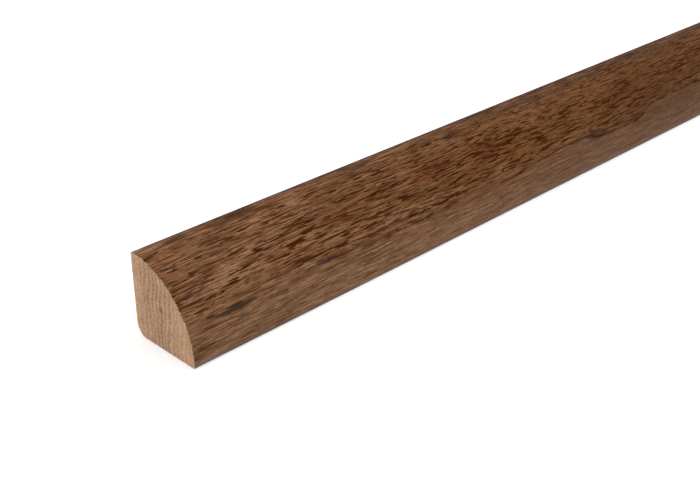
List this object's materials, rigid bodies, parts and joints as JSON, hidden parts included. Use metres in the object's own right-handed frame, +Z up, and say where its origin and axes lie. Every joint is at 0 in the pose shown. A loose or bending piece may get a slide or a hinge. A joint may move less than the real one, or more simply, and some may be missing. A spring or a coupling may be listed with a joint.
{
  "type": "quarter round moulding",
  "caption": "Solid oak quarter round moulding stock with a stained convex face, a narrow front lip, flat wall and floor faces and a rounded back corner.",
  "frame": {"origin": "middle of the bottom's bounding rectangle, halfway along the length, on the floor plane", "axes": "+X along the length, +Y towards the wall behind it, +Z up from the floor; the convex face looks towards -Y and +Z"},
  "size_m": [1.9812, 0.0186, 0.019],
  "materials": {
    "stained_oak": "dark brown stain with a thin satin lacquer over open oak grain on the show face; bare sawn oak on the ends and planed bare oak on the wall and floor faces"
  },
  "bodies": {
    "root": {"quarter_round_moulding": "stained_oak"}
  },
  "joints": []
}
